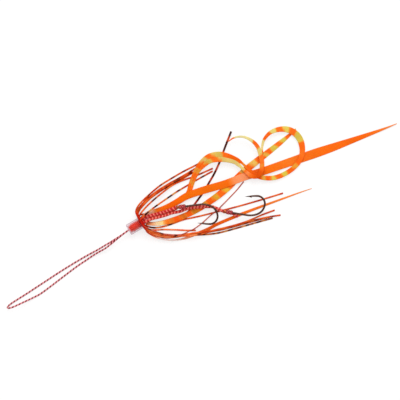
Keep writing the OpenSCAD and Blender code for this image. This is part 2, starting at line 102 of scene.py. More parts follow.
# The loop, out to its nose and back; x is from the sleeve's front
LOOP_ROUTE = [
    (-10.6, -0.4, 3.2), (-12.4, -0.4, 2.4), (-14.8, -0.4, 1.4), (-18.5, -0.2, 0.4),
    (-23, -0.1, 0), (-28, -0.1, 0), (-33, -0.2, 0), (-38, -0.4, 0), (-43, -0.6, 0), (-48, -0.8, 0),
    (-52.5, -0.9, 0), (-55.5, -1, 0.05), (-57.1, -1.3, 0.75), (-57.5, -1.7, 1.75),
    (-56.9, -2.2, 2.7), (-55.3, -2.6, 3.1), (-52.8, -2.9, 2.7), (-50, -3.2, 1.6),
    (-47, -3.5, 0.5), (-43.5, -3.7, 0), (-39, -3.3, 0), (-34.5, -2.8, 0), (-30, -2.3, 0),
    (-25, -1.8, 0), (-21, -1.6, 0), (-17.5, -1.4, 0.5), (-14.5, -1.4, 1.4), (-12.4, -1.5, 2.3),
    (-10.8, -1.4, 3)]

# Strands: root angle, width as a share, colour, route
STRANDS = [
    (6, 1, "orange", [(0.5, 5, 3), (3, 6.6, 2.2), (8.3, 7.9, 1), (14, 8.8, 0.2), (20, 8.9, 0),
        (25, 8.8, 0), (32, 8.3, 0)]),
    (23, 1, "orange", [(0.9, 4.7, 3.9), (4, 6.1, 2.9), (8, 7.1, 1.6), (13, 7.6, 0.5), (18, 7.6, 0),
        (23, 7.4, 0), (30.5, 7.4, 0)]),
    (-11, 1, "orange", [(0.8, 4.2, 1.9), (4, 5.4, 1.1), (8, 6.4, 0.4), (13, 6.8, 0), (18, 6.8, 0),
        (23, 6.5, 0), (29.5, 6.5, 0)]),
    (40, 1, "orange", [(1.2, 4.1, 4.8), (4.2, 5.6, 3.9), (8, 6.5, 2.9), (12.5, 7.1, 1.8),
        (17.5, 7.3, 1), (22, 7, OVER_STRAND), (28, 7, OVER_STRAND)]),
    (58, 1, "orange", [(1.4, 3, 5.5), (4.6, 4.2, 4.3), (8.5, 5.1, 3.1), (12.8, 5.8, 1.9),
        (17.5, 6.3, 0.9), (20.6, 6.2, 0.7), (24.2, 5.6, 0.3), (28, 4.8, 0), (35.6, 3.8, 0)]),
    (77, 1, "banded", [(1.2, 1.4, 6), (5.2, 2.2, 4.9), (9, 2.6, 3.6), (13.4, 2.9, 2.1),
        (18, 3.2, 0.4), (22.5, 3.2, 0), (29.5, 3.1, 0), (35, 2.9, 0)]),
    (-40, 1, "orange", [(1.2, 2.8, 0.5), (3.5, 1.9, 0.05), (7, 0.7, 0), (13.5, 0, 0), (20, -0.4, 0)]),
    (-58, 1, "orange", [(1.1, 1.5, 0), (3.2, 0.2, 0), (7.5, -1.2, 0), (11.5, -2.2, 0), (15, -2.7, 0)]),
    (-77, 1.2, "dark", [(1.1, 0, 0), (3.2, -2.2, 0), (8, -4.9, 0), (13, -6.1, 0), (17, -6.2, 0),
        (20, -5.5, 0), (23.2, -4.2, 0), (27, -2.6, 0), (30.8, -0.6, 0), (35.3, 1.9, 0), (39.8, 5, 0),
        (43.8, 8.3, 0.3), (49.5, 12.7, 1)]),
    (251, 1, "orange", [(1.1, -2.6, 0), (3.4, -4.6, 0), (7, -6.1, 0), (11, -7, 0), (15, -7.8, 0),
        (18.3, -8.9, 0), (22.2, -10.2, 0), (29.8, -12.5, 0), (38, -14.9, 0), (46.6, -17.2, 0),
        (54.6, -19.2, 0)]),
    (232, 1, "orange", [(0.9, -3.8, 0.4), (3, -5.4, 0), (6, -7, 0), (9.8, -9.4, 0), (14, -12.2, 0),
        (17, -14, 0)]),
    (215, 1, "orange", [(0.7, -4.8, 0.8), (3, -7.1, 0.4), (6, -9.3, 0), (9, -11.5, 0),
        (12.4, -13.3, 0)]),
    (199, 1, "banded", [(0.6, -5.2, 1.4), (2.5, -7.9, 1.1), (5.1, -10.3, 0.75), (8.2, -11.9, 0.75),
        (11, -13.1, 1.2), (14, -14.6, 1.5), (17, -16.1, 1.3), (20.9, -18.1, 0.6), (25, -19.8, 0),
        (32, -21.8, 0), (39, -23.7, 0), (45.9, -25.6, 0)]),
    (157, 1, "banded", [(1, -5.1, 3.7), (3.2, -7.7, 2.2), (6.2, -10, 1.6), (10, -12.1, 1.9),
        (14, -13.8, 2.2), (17, -15.2, 2), (21, -17, 1.2), (25, -18.7, 0.4), (30, -20.3, 0),
        (35, -21.7, 0), (40, -23.1, 0), (45, -24.6, 0)]),
    (142, 1, "banded", [(1, -5, 4.5), (3, -7.9, 3.2), (6.2, -10.5, 2.4), (10, -12.4, 2.7),
        (14, -14.5, 2.8), (17, -15.8, 2.6), (21, -17.2, 1.9), (25, -18.6, 1.1), (30, -20.1, 0.75),
        (35, -21.4, 0.75), (39, -22.5, 0.75), (44, -24.1, 0.75), (49.2, -26.2, 0.2)]),
    (127, 1, "orange", [(1.1, -4.2, 5.7), (2.6, -6.2, 4.8), (4.7, -8.3, 4.1), (6.6, -9.8, 3.7),
        (10, -11.9, 3.5), (14, -13.7, 3.1), (18, -15.4, 2.9), (21, -16.8, 2.6), (25, -18.2, 1.8),
        (30, -19.8, 1.5), (35, -21.1, 1.4), (39, -21.8, 1.4), (43, -22.3, 0.6), (48.2, -23.3, 0)]),
    (110, 0.7, "dark", [(1.1, -3.4, 6.6), (2.6, -5.5, 5.9), (4.7, -7.9, 5.1), (6.6, -9.6, 4.7),
        (9.4, -11.7, 4.3), (12.2, -12.6, 4), (14.5, -12.8, 3.4), (16.5, -13.1, 2), (20.3, -12.8, 0.5),
        (25, -11.9, 0.7), (28.5, -11.4, 0.7), (31.5, -10.7, 0.3), (34.6, -9.9, 0), (39.3, -8.6, 0),
        (43.5, -7.1, 0)])]

# Ties, with a width and a roll at each point
PLAIN_LONG = [
    (1.1, 1.9, 2.7, 1.3, 90), (4, 1.9, 2.1, 1.5, 25), (7.5, 1, 1.7, 1.7, 0),
    (11.4, 0.1, OVER_BOTH, 2.1, 0), (16, -0.3, OVER_BOTH, 2.5, 0), (20.6, -0.3, OVER_BOTH, 2.8, 0),
    (25.5, -1.2, OVER_BOTH, 3, 0), (31, -2.6, OVER_BOTH, 3.1, 0), (36.3, -4, OVER_BOTH, 3.1, 0),
    (41, -4.9, OVER_BOTH, 3.1, 0), (45.6, -5.8, OVER_BOTH, 3.1, 0), (52, -7.5, OVER_BOTH, 3.2, 0),
    (59, -9, 0.5, 3.3, 0), (66, -10.5, 0, 3.5, 0), (73.6, -12.1, 0, 3.7, 0),
    (80.5, -13.6, 0, 3.3, 0), (88, -15.1, 0, 2.5, 0), (95.2, -16.5, 0.1, 1.7, 0),
    (102.5, -17.9, 0.3, 0.9, 0), (108, -18.8, 0.5, 0.3, 0)]
PLAIN_SHORT = [
    (0, -3.2, 2.9, 1.2, 90), (0.1, -5, 2.3, 1.2, 90), (2.5, -8.9, 1.4, 1.2, 90),
    (6.4, -12.2, 0.6, 1.2, 85), (11.4, -14.4, 0.1, 1.3, 65), (16, -15.2, 0, 1.4, 30),
    (20.8, -16, 0, 1.4, 0), (25, -16.2, 0, 1.3, 0), (29, -16.7, 0, 1.3, 0),
    (33, -17.3, 0, 1.3, 0), (38, -18.1, 0, 1.2, 0), (45, -19.4, 0, 1, 0),
    (52.7, -20.9, 0, 0.8, 0), (60.4, -22.4, 0.1, 0.5, 0), (65.4, -23.5, 0.3, 0.25, 0)]
BANDED = [
    (1.1, -1.35, 1.5, 1.3, -40), (4.2, -3.2, 0.9, 1.6, -10), (7.3, -4.6, OVER_STRAND, 2, 0),
    (11, -5.7, OVER_STRAND, 2.3, 0), (14.6, -6.4, OVER_STRAND, 2.3, 0),
    (18.2, -6.9, OVER_STRAND, 2.3, 0), (21.5, -7.1, OVER_STRAND, 2.4, 0),
    (25, -7.1, OVER_STRAND, 2.5, 0), (28, -6.9, OVER_STRAND, 2.6, 0),
    (31, -6.7, OVER_STRAND, 2.7, 0), (34, -6.3, OVER_STRAND, 2.8, 0),
    (37, -5.8, OVER_STRAND, 2.8, 0), (40.2, -5, OVER_STRAND, 2.8, 0),
    (44, -4.1, OVER_STRAND, 2.8, 0), (48.2, -3.3, OVER_STRAND, 2.8, 0), (52, -2.8, 0.5, 2.7, 0),
    (56, -2.3, 0.1, 2.5, 0), (60, -1.8, 0, 2.3, 0), (64.6, -1.2, 0, 1.9, 0),
    (69, -0.5, 0, 1.2, 0), (72.3, 0.3, 0, 0.4, 0)]
CURLY = [
    (1.1, 1.2, 1.1, 1.2, 40), (4.2, 0.9, 0.75, 1.4, 0), (8, 0.4, OVER_STRAND, 1.7, 0),
    (14, -0.4, OVER_STRAND, 1.9, 0), (19, -0.6, OVER_STRAND, 2, 0),
    (22.2, 0.4, OVER_STRAND, 2.1, 0), (24.7, 2.6, OVER_STRAND, 2.2, 0), (27.3, 4.7, 1.4, 2.3, 0),
    (30, 6.4, 2.2, 2.6, 0), (33.2, 7.5, 2.8, 3.4, 0), (36.5, 7.8, 3.4, 3.9, 0),
    (39.8, 6.6, 3.4, 4.2, 0)]
# The curly tie's branches, with a slit between them and thinner ends than in the source
RING = [
    (42.88, 5.44, 2.9, 2, 0), (45.28, 2.46, 2.6, 1.6, 0), (46.13, 0.8, 2.4, 1.45, 0),
    (46.8, -0.85, 2.2, 0.95, 0), (47.65, -4.2, 2.1, 1.5, 0), (48.9, -7.4, 2.1, 1.9, 0),
    (51.3, -10.1, 1.9, 1.9, 0), (54.8, -12.1, 1.4, 1.9, 0), (59, -12.9, 0.9, 1.9, 0),
    (63.2, -12.7, 0.75, 1.9, 0), (67, -11.4, 0.85, 2, 0), (69.8, -8.8, 1, 2.2, 0),
    (71.3, -5.2, 1, 2.5, 0), (71.2, -1.7, 1, 2.6, 0), (69.4, 1.5, 1.4, 2.5, 0),
    (66.3, 3.5, 2.2, 2.1, 0), (62.6, 4.2, 2.4, 1.6, 0), (59.2, 3.2, 1.9, 1.2, 0),
    (57, 1.1, 1.3, 0.9, 0), (56.2, -0.3, 0.9, 0.65, 0), (55.95, -1.3, 0.9, 0.5, 0)]
ARC = [
    (41.72, 4.06, 2.9, 1.95, 0), (44.1, 1.76, 2.6, 1.7, 0), (44.95, 0.05, 2.4, 1.5, 0),
    (45.57, -1.82, 2.2, 1.15, 0), (46.45, -5, 2.1, 1.6, 0), (47.6, -7.2, 2.9, 1.8, 0),
    (49.7, -8, 3.1, 1.9, 0), (51.8, -6.9, 3.1, 1.9, 0), (53.6, -4.3, 3, 1.9, 0),
    (54.7, -1.4, 3, 1.8, 0), (55.3, 2, 3.5, 1.6, 0), (54.5, 5.4, 4.1, 1.3, 0),
    (52.3, 8.4, 4.1, 0.95, 0), (49.2, 9.9, 3.2, 0.7, 0), (46.4, 9.8, 2.2, 0.35, 0)]

# The long line's cut end, past its whipping, in the hook's own frame
TAG_ROUTE = [(2.2, -0.1, -0.55), (3.8, -0.35, -0.75), (5, -0.8, -0.9), (6.2, -1.25, -1)]
TAG_D = 1

# ---------- Camera ----------

VIEW_TURN = math.radians(-31)
AIM = (30.6, -4.4, -2)
VIEW_WIDTH = 160
LENS = 200

camera_data = bpy.data.cameras.new("camera")
camera_data.lens = LENS
camera_data.clip_end = 10
camera = bpy.data.objects.new("camera", camera_data)
bpy.context.scene.collection.objects.link(camera)
distance = LENS / camera_data.sensor_width * VIEW_WIDTH
camera.location = [AIM[0] * MM, AIM[1] * MM, (AIM[2] + distance) * MM]
camera.rotation_euler = (0, 0, VIEW_TURN)
bpy.context.scene.camera = camera

# ---------- Materials ----------

def screen(colours):
    """Screen colours, 0 to 255, as linear values."""
    shares = np.asarray(colours, float) / 255
    return np.where(shares <= 0.04045, shares / 12.92, ((shares + 0.055) / 1.055) ** 2.4)


def rgb(*colour):
    """A screen colour, 0 to 255, as a material takes it."""
    return (*screen(colour).tolist(), 1)


BLACK, WHITE = rgb(0, 0, 0), rgb(255, 255, 255)


class Nodes:
    """Adds nodes to one material and links them."""

    def __init__(self, name):
        self.material = bpy.data.materials.new(name)
        self.material.use_nodes = True
        self.tree = self.material.node_tree
        self.shader = self.tree.nodes["Principled BSDF"]

    def add(self, kind, **settings):
        node = self.tree.nodes.new(kind)
        for key, value in settings.items():
            setattr(node, key, value)
        return node

    def put(self, value, socket):
        if isinstance(value, bpy.types.NodeSocket):
            self.tree.links.new(value, socket)
        else:
            socket.default_value = value

    def math(self, operation, a, b=0.0, c=0.0):
        node = self.add("ShaderNodeMath", operation=operation)
        for value, socket in zip((a, b, c), node.inputs):
            self.put(value, socket)
        return node.outputs[0]

    def mix(self, share, a, b):
        node = self.add("ShaderNodeMix", data_type="RGBA")
        self.put(share, node.inputs[0])
        self.put(a, node.inputs[6])
        self.put(b, node.inputs[7])
        return node.outputs[2]

    def ramp(self, value, stops):
        node = self.add("ShaderNodeValToRGB")
        marks = node.color_ramp.elements
        while len(marks) < len(stops):
            marks.new(1)
        for mark, (place, colour) in zip(marks, stops):
            mark.position = place
            mark.color = colour
        self.put(value, node.inputs[0])
        return node.outputs[0]

    def smoothstep(self, value, low, high):
        node = self.add("ShaderNodeMapRange", interpolation_type="SMOOTHSTEP")
        self.put(value, node.inputs[0])
        node.inputs[1].default_value = low
        node.inputs[2].default_value = high
        return node.outputs[0]

    def noise(self, vector, scale, detail):
        node = self.add("ShaderNodeTexNoise")
        self.put(vector, node.inputs["Vector"])
        node.inputs["Scale"].default_value = scale
        node.inputs["Detail"].default_value = detail
        return node.outputs[0]

    def uv(self):
        """Share across (with the piece's number in front of the point) and length in mm."""
        node = self.add("ShaderNodeUVMap")
        split = self.add("ShaderNodeSeparateXYZ")
        self.put(node.outputs[0], split.inputs[0])
        number = self.math("FLOOR", split.outputs[0])
        across = self.math("SUBTRACT", split.outputs[0], number)
        return number, across, split.outputs[1]

    def wrapped(self, uv, across_scale, along_scale, detail=2):
        """Noise that lies round a piece, and differs from piece to piece by its number."""
        number, across, along = uv
        node = self.add("ShaderNodeCombineXYZ")
        self.put(self.math("MULTIPLY", across, across_scale), node.inputs[0])
        self.put(self.math("MULTIPLY", along, along_scale), node.inputs[1])
        self.put(number, node.inputs[2])
        return self.noise(node.outputs[0], 1, detail)

    def place(self):
        """The place in the part's frame, in metres."""
        return self.add("ShaderNodeTexCoord").outputs["Object"]

    def behind_front(self, place):
        """Distance behind the sleeve's front, in metres."""
        split = self.add("ShaderNodeSeparateXYZ")
        self.put(place, split.inputs[0])
        return split.outputs[0]

    def bump(self, height, depth_mm, strength):
        node = self.add("ShaderNodeBump")
        node.inputs["Strength"].default_value = strength
        node.inputs["Distance"].default_value = depth_mm * MM
        self.put(height, node.inputs["Height"])
        self.put(node.outputs[0], self.shader.inputs["Normal"])

    def set(self, **values):
        for key, value in values.items():
            self.put(value, self.shader.inputs[key.replace("_", " ")])


def silicone(name, roughness=0.42, flecks=0.3):
    """Soft silicone in its painted colours, with fine flecks and a slightly uneven skin."""
    n = Nodes(name)
    paint = n.add("ShaderNodeVertexColor", layer_name="paint").outputs[0]
    fleck = n.wrapped(n.uv(), 5, 2.2, 3)
    darker = n.mix(flecks, paint, (0.06, 0.004, 0.001, 1))
    lighter = n.mix(flecks * 0.6, paint, (1, 0.45, 0.12, 1))
    colour = n.mix(n.smoothstep(fleck, 0.56, 0.75), paint, lighter)
    colour = n.mix(n.smoothstep(fleck, 0.42, 0.26), colour, darker)
    n.set(Base_Color=colour, IOR=1.41, Specular_IOR_Level=0.05)
    n.set(Subsurface_Weight=0.1, Subsurface_Scale=0.0005)
    n.set(Roughness=n.math("MULTIPLY_ADD", fleck, 0.14, roughness - 0.07))
    n.bump(n.noise(n.place(), 2600, 3), 0.02, 0.5)
    return n.material


def cord_material(name, pale, dark, seam, pitch, share, crest=None, uneven=0.3):
    """Cord whose dark bands fill a share of each pitch, with seams at their edges.

    The bands go round as a helix, or lead at one crest of the way round and trail either side."""
    n = Nodes(name)
    uv = n.uv()
    across, along = uv[1:]
    if crest is None:
        wave = across
    else:
        beside = n.math("PINGPONG", n.math("ADD", across, 0.5 - crest), 0.5)
        wave = n.math("MULTIPLY", beside, BRAID_SLANT)
    wave = n.math("ADD", wave, n.math("MULTIPLY", n.wrapped(uv, 3, 0.9), uneven))
    phase = n.math("FRACT", n.math("ADD", n.math("DIVIDE", along, pitch), wave))
    bands = n.ramp(phase, [(0, BLACK), (0.08, WHITE), (share, WHITE), (share + 0.08, BLACK)])
    gaps = n.ramp(phase, [(0, WHITE), (0.07, BLACK), (share - 0.02, BLACK), (share + 0.04, WHITE),
        (share + 0.1, BLACK), (0.94, BLACK), (1, WHITE)])
    mottle = n.wrapped(uv, 6, 3)
    light, deep = (n.mix(mottle, rgb(*a), rgb(*b)) for a, b in (pale, dark))
    colour = n.mix(n.math("MULTIPLY", gaps, 0.55), n.mix(bands, light, deep), rgb(*seam))
    n.set(Base_Color=colour, Roughness=0.62, IOR=1.45)
    n.set(Sheen_Weight=0.06, Sheen_Roughness=0.5, Specular_IOR_Level=0.3)
    n.bump(n.wrapped((0, across, along), 60, 9), 0.03, 0.7)
    return n.material


def thread_material():
    """Wound thread: crimson turns with painted shade in the gaps between them, and painted highlights on
    the threads that cross over them.
    """
    n = Nodes("red_thread")
    uv = n.uv()
    across, along = uv[1:]
    turn = n.math("FRACT", n.math("ADD", n.math("DIVIDE", along, THREAD_PITCH), across))
    # painted shade in the grooves between the turns
    painted_gap_shade = n.ramp(turn, [(0, WHITE), (0.2, BLACK), (0.8, BLACK), (1, WHITE)])
    steps = n.math("DIVIDE", along, THREAD_CROSS)
    around = n.math("MULTIPLY", across, 4)
    left = n.math("PINGPONG", n.math("ADD", around, steps), 0.5)
    right = n.math("PINGPONG", n.math("SUBTRACT", around, steps), 0.5)
    # painted highlight where the crossing threads stand up
    over = n.smoothstep(n.math("ADD", left, right), 0.7, 0.92)
    colour = n.mix(n.wrapped(uv, 5, 1.6), rgb(206, 12, 28), rgb(112, 2, 14))
    # darken the grooves with painted shade, then lay painted highlights on the crossing threads
    colour = n.mix(n.math("MULTIPLY", painted_gap_shade, 0.8), colour, rgb(60, 2, 8))
    colour = n.mix(n.math("MULTIPLY", over, 0.9), colour, rgb(255, 150, 150))
    n.set(Base_Color=colour, Roughness=0.42, IOR=1.5, Coat_Weight=0.25)
    n.bump(n.noise(n.place(), 5200, 2), 0.015, 0.5)
    return n.material


def shiny(name, first, second, roughness, scale, metallic=0.0, tip=None):
    """A glossy surface with slow cloudy changes of colour; tip tints its first millimetre.

    A piece without UVs is at 0 along throughout, and isn't tinted."""
    n = Nodes(name)
    cloud = n.noise(n.place(), scale, 3)
    colour = n.mix(cloud, first, second)
    if tip:
        along = n.uv()[2]
        near = n.math("MULTIPLY", n.smoothstep(along, 1.6, 1), n.math("GREATER_THAN", along, 0.001))
        colour = n.mix(near, colour, tip)
    n.set(Base_Color=colour, Metallic=metallic, IOR=1.5, Specular_IOR_Level=0.25)
    n.set(Roughness=n.math("MULTIPLY_ADD", cloud, 0.16, roughness - 0.08))
    n.bump(n.noise(n.place(), scale * 8, 2), 0.01, 0.4)
    return n.material


def skirt_material():
    """The skirt's root: bright red in its neck under the sleeve, painted lighter against the sleeve's
    shade; deeper red in its rim behind.
    """
    n = Nodes("skirt_red")
    place = n.place()
    behind = n.smoothstep(n.behind_front(place), 3.2 * MM, SLEEVE_LEN * MM)
    cloud = n.noise(place, 900, 3)
    # painted light: the neck is a lighter red than the rim, to make up for the shade under the sleeve
    neck = n.mix(cloud, rgb(232, 60, 36), rgb(212, 38, 20))
    rim = n.mix(cloud, rgb(208, 20, 0), rgb(174, 8, 0))
    n.set(Base_Color=n.mix(behind, neck, rim), IOR=1.45, Specular_IOR_Level=0.12)
    n.set(Roughness=n.math("MULTIPLY_ADD", cloud, 0.16, 0.34))
    n.bump(n.noise(place, 7200, 2), 0.03, 0.4)
    return n.material


def clear_sleeve_material():
    """Clear soft sleeve: nearly unseen face on, with mauve-grey painted shade towards its edges and at
    its front rim.
    """
    n = Nodes("clear_silicone")
    place = n.place()
    haze = n.noise(place, 500, 2)
    front = n.smoothstep(n.behind_front(place), 0.9 * MM, 0.3 * MM)
    edge = n.add("ShaderNodeLayerWeight")
    edge.inputs[0].default_value = 0.5
    turned = edge.outputs["Facing"]
    # painted edge shade: whitish pink face on, turning mauve-grey as the surface turns away from the
    # view
    edge_shade_tint = n.ramp(turned, [(0.25, rgb(255, 222, 220)), (0.45, rgb(226, 176, 192)),
        (0.7, rgb(172, 130, 154))])
    edge_shade_tint = n.mix(n.math("MULTIPLY", front, 0.6), edge_shade_tint, rgb(206, 158, 184))
    n.set(Base_Color=edge_shade_tint, IOR=1.41, Roughness=n.math("MULTIPLY_ADD", haze, 0.08, 0.12))
    solid = n.math("MAXIMUM", n.smoothstep(turned, 0.1, 0.65), n.math("MULTIPLY", front, 0.7))
    n.set(Alpha=n.math("MULTIPLY_ADD", solid, 0.5, 0.01))
    return n.material


MATERIALS = {
    "clear_silicone": clear_sleeve_material(),
    "core_red": shiny("core_red", rgb(230, 56, 34), rgb(208, 34, 18), 0.3, 700),
    "skirt_red": skirt_material(),
    "pink_cord": cord_material("pink_cord", ((246, 162, 168), (236, 134, 142)),
        ((120, 8, 16), (148, 22, 30)), (100, 10, 22), CORD_PITCH, 0.5),
    # The two braids' pale bands are partly their own pattern and partly painted highlight on the weave
    "red_cord": cord_material("red_cord", ((254, 140, 122), (236, 84, 74)),
        ((212, 14, 20), (170, 6, 14)), (138, 8, 10), BRAID_PITCH, 0.58,
        crest=SHORT_LINE_CREST, uneven=0.75),
    "salmon_cord": cord_material("salmon_cord", ((254, 150, 128), (242, 98, 80)),
        ((220, 32, 26), (184, 14, 28)), (136, 10, 20), BRAID_PITCH, 0.52,
        crest=LONG_LINE_CREST, uneven=0.7),
    "hook_steel": shiny("hook_steel", rgb(104, 66, 52), rgb(40, 22, 18), 0.26, 900, metallic=0.7,
        tip=rgb(160, 78, 44)),
    "red_thread": thread_material(),
    "orange_tie": silicone("orange_tie", roughness=0.45, flecks=0.08),
    "banded_tie": silicone("banded_tie", roughness=0.45, flecks=0.12),
    **{name: silicone(name) for name in ("skirt_orange", "skirt_banded", "skirt_dark")}}


# ---------- Painted colours: each takes the share across and the distance along in mm ----------

CRIMSON, GOLD_MARK, DARK_MARK, BAND_RIM = (200, 24, 0), (214, 148, 74), (62, 8, 0), (240, 150, 50)
CRIMSON_LEN = 3.2  # of a strand's root
NEAR_LEN, NEAR_FADE = 28, 8  # where a strand's near colours end, and over what length


def fade(along, stops):
    """Screen colours that pass through (distance, colour) stops."""
    places, colours = zip(*stops)
    return np.stack([np.interp(along, places, part) for part in zip(*colours)], -1)


def blended(first, second, share):
    """The first colour where share is 0, the second where it is 1."""
    return np.array(first) * (1 - share) + np.array(second) * share


def cover(along, marks, edge):
    """How much each distance is covered by marks of (start, end) or (start, end, strength)."""
    total = np.zeros_like(along)
    for start, end, *strength in marks:
        begun = np.clip((along - start) / edge + 0.5, 0, 1)
        not_ended = np.clip((end - along) / edge + 0.5, 0, 1)
        total = np.maximum(total, begun * not_ended * (strength[0] if strength else 1))
    return total[..., None]


def waver(along, seed):
    """A slow uneven wave from 0 to 1."""
    return 0.5 + 0.25 * (np.sin(along * 0.83 + seed * 2.1) + np.sin(along * 0.31 + seed * 4.7))


def strand_paint(number, dark, gold, near_body, far_body):
    """A strand's body colours near and far, its crimson root, and its gold and dark marks."""
    def paint(across, along):
        cloud = np.clip(waver(along * 1.5, number * 1.7) * 1.6 - 0.3, 0, 1)[..., None]
        near = np.clip((NEAR_LEN - along) / NEAR_FADE, 0, 1)[..., None]
        root = np.clip((CRIMSON_LEN - along) / (CRIMSON_LEN * 0.75), 0, 1)[..., None]
        light, deep = (blended(far, close, near) for close, far in zip(near_body, far_body))
        colour = blended(blended(light, deep, cloud), CRIMSON, root)
        colour = blended(colour, GOLD_MARK, cover(along, gold, 0.7))
        return blended(colour, DARK_MARK, cover(along, dark, 0.55))
    return paint


def tie_paint(stops, seed):
    """A plain tie's colours, which follow its stops and waver a little."""
    def paint(across, along):
        shade = waver(along + across * 1.7, seed)[..., None]
        return fade(along, stops) * (1 - 0.05 * shade)
    return paint


RED_ORANGE = ((254, 116, 30), (246, 98, 14))
STRAIGHT_GOLD = [
    (10, (228, 132, 36)), (16, (196, 100, 24)), (21, (214, 140, 30)), (26, (222, 150, 40)),
    (35, (242, 182, 46)), (45, (244, 190, 90)), (52, (240, 194, 92)), (61, (230, 202, 78))]
RING_GOLD = [
    (26, (232, 164, 62)), (31, (222, 146, 56)), (36, (238, 196, 110)), (42, (224, 192, 92)),
    (60, (234, 188, 84)), (72, (226, 198, 72)), (90, (228, 200, 80)), (97, (240, 214, 96)),
    (108, (248, 230, 150))]
ARC_GOLD = [
    (26, (218, 142, 40)), (31, (224, 158, 48)), (36, (226, 180, 72)), (44, (236, 200, 112)),
    (48, (236, 210, 126)), (70, (240, 212, 120)), (76, (248, 228, 150)), (82, (236, 224, 160))]


def banded_paint(yellow, seed, slant, gold, ends):
    """Orange with golden bands: yellow says where they are, and gold is their colour on the way.

    They lean by the slant, in mm. Ends are stops of (distance, colour, strength) over it all."""
    slant_at, slant_by = zip(*slant)
    ends_at, tints, strengths = zip(*ends)

    def paint(across, along):
        lean = np.interp(along, slant_at, slant_by)
        shifted = along + lean * (across - 0.5) + 0.3 * np.sin(across * 5 + along * 0.9 + seed)
        shade = waver(along * 1.4, seed)[..., None]
        band = cover(shifted, yellow, 0.6)
        colour = blended(blended(*RED_ORANGE, shade), fade(along, gold) * (1 - 0.08 * shade), band)
        colour = blended(colour, BAND_RIM, 4 * band * (1 - band))
        strength = np.interp(along, ends_at, strengths)[..., None]
        return blended(colour, fade(along, list(zip(ends_at, tints))), strength)
    return paint


# ---------- Curves and meshes ----------

def smooth(points):
    """A Catmull-Rom curve through rows of numbers, as in the part's source."""
    p = np.array(points, float)
    p = np.vstack([2 * p[0] - p[1], p, 2 * p[-1] - p[-2]])
    rows = []
    for a, b, c, d in zip(p, p[1:], p[2:], p[3:]):
        for t in np.arange(CURVE_STEPS) / CURVE_STEPS:
            rows.append(0.5 * (2 * b + (c - a) * t + (2 * a - 5 * b + 4 * c - d) * t ** 2
                               + (3 * b - 3 * c + d - a) * t ** 3))
    return np.array(rows + [p[-2]])


def lengths(path):
    """Distance along a path at each of its points, by its first three columns."""
    steps = np.linalg.norm(np.diff(path[:, :3], axis=0), axis=1)
    return np.concatenate([[0], np.cumsum(steps)])


def curve(points, step):
    """A smooth path through points, its own points about a step apart."""
    path = smooth(points)
    along = lengths(path)
    places = np.linspace(0, along[-1], int(round(along[-1] / step)) + 1)
    return np.column_stack([np.interp(places, along, column) for column in path.T])


def headings(places):
    """The direction of a path at each of its places."""
    ahead = np.gradient(places, axis=0)
    return ahead / np.linalg.norm(ahead, axis=1)[:, None]


def frames(path):
    """The level side and the upper side of a path at each of its points."""
    ahead = headings(path[:, :3])
    side = np.cross([0, 0, 1], ahead)
    side /= np.linalg.norm(side, axis=1)[:, None]
    return side, np.cross(ahead, side)


def rounded(width, thickness, per_corner):
    """A rounded rectangle as (across, up) points."""
    radius = 0.48 * min(width, thickness)
    points = []
    for x_side, y_side, start in ((1, 1, 0), (-1, 1, 90), (-1, -1, 180), (1, -1, 270)):
        across, up = x_side * (width / 2 - radius), y_side * (thickness / 2 - radius)
        for turn in np.radians(np.linspace(start, start + 90, per_corner)):
            points.append((across + radius * math.cos(turn), up + radius * math.sin(turn)))
    return np.array(points)


def turns(sides):
    """Angles set evenly round a ring."""
    return np.arange(sides) * 2 * math.pi / sides


def disc(half_width, half_height, sides):
    """An oval as (across, up) points."""
    return np.column_stack([half_width * np.cos(turns(sides)), half_height * np.sin(turns(sides))])


def ring(centre, section, side, up):
    """A section's (across, up) points, set round a centre in space."""
    return centre + np.outer(section[:, 0], side) + np.outer(section[:, 1], up)


def round_uvs(along, sides, number):
    """(across, along) round a ring at each distance, with the number in front of the point."""
    uvs = np.empty((len(along), sides + 1, 2))
    uvs[:, :, 0] = number + np.clip(np.arange(sides + 1) / sides, 0.0005, 0.9995)
    uvs[:, :, 1] = along[:, None]
    return uvs


def add_piece(name, mesh, material):
    """Put a mesh in the scene with one material."""
    mesh.materials.append(MATERIALS[material])
    piece = bpy.data.objects.new(name, mesh)
    bpy.context.scene.collection.objects.link(piece)
    return piece


def skin(name, rings, uvs, material, paint=None):
    """A closed mesh over rings of points in mm; uvs gives (across, along) at each ring's points."""
    count, sides = rings.shape[:2]
    faces, loops = [], []
    for i in range(count - 1):
        for k in range(sides):
            j = (k + 1) % sides
            faces.append((i * sides + k, i * sides + j, (i + 1) * sides + j, (i + 1) * sides + k))
            loops += [uvs[i, k], uvs[i, k + 1], uvs[i + 1, k + 1], uvs[i + 1, k]]
    faces.append(tuple(reversed(range(sides))))
    loops += [uvs[0, k] for k in reversed(range(sides))]
    faces.append(tuple((count - 1) * sides + k for k in range(sides)))
    loops += [uvs[-1, k] for k in range(sides)]
    mesh = bpy.data.meshes.new(name)
    mesh.from_pydata((rings.reshape(-1, 3) * MM).tolist(), [], faces)
    layer = mesh.uv_layers.new(name="UVMap")
    layer.data.foreach_set("uv", np.array(loops, np.float32).ravel())
    mesh.polygons.foreach_set("use_smooth", [True] * len(mesh.polygons))
    mesh.update()
    if paint:
        colours = screen(paint(uvs[:, :-1, 0] % 1, uvs[:, :-1, 1])).reshape(-1, 3)
        layer = mesh.color_attributes.new("paint", "FLOAT_COLOR", "POINT")
        layer.data.foreach_set("color", np.column_stack([colours, np.ones(len(colours))]).ravel())
    return add_piece(name, mesh, material)


def tube(name, path, radius_at, material, number, sides):
    """A round cord along a path; radius_at(angles, distance) gives its radius in mm."""
    side, up = frames(path)
    along = lengths(path)
    rings = []
    for i, centre in enumerate(path):
        radius = radius_at(turns(sides), along[i])
        rings.append(ring(centre, disc(radius, radius, sides), side[i], up[i]))
    return skin(name, np.array(rings), round_uvs(along, sides, number), material)


